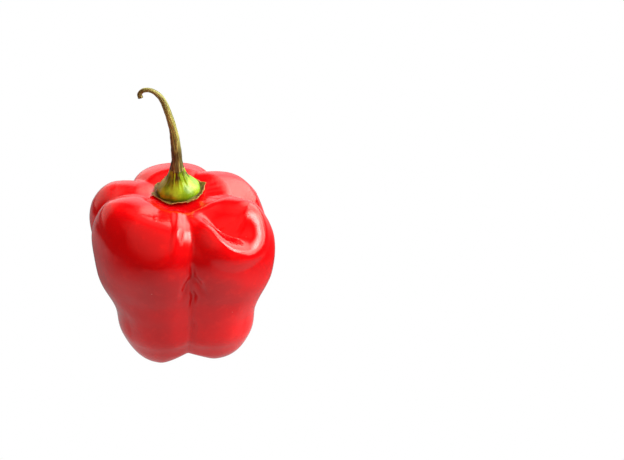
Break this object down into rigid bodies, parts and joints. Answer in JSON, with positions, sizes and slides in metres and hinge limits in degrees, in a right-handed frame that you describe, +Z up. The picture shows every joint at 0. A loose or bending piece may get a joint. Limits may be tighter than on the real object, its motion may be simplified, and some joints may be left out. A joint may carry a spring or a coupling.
{
  "type": "habanero pepper",
  "caption": "Whole ripe habanero pepper with a lobed glossy red pod, green calyx and long hooked stalk, standing upright on its blossom end.",
  "frame": {"origin": "centre of the pepper's outline seen from above, on the surface it stands on", "axes": "+Z up along the pod's axis towards the stalk, +X towards the right of the front, +Y towards the back"},
  "size_m": [0.0452, 0.0462, 0.0667],
  "materials": {
    "pod_skin": "glossy waxy red skin",
    "calyx_green": "satin yellow-green with a brown-edged collar",
    "stalk": "dull olive green with brown streaks"
  },
  "bodies": {
    "root": {"pod": "pod_skin", "calyx": "calyx_green", "stem": "stalk"}
  },
  "joints": []
}
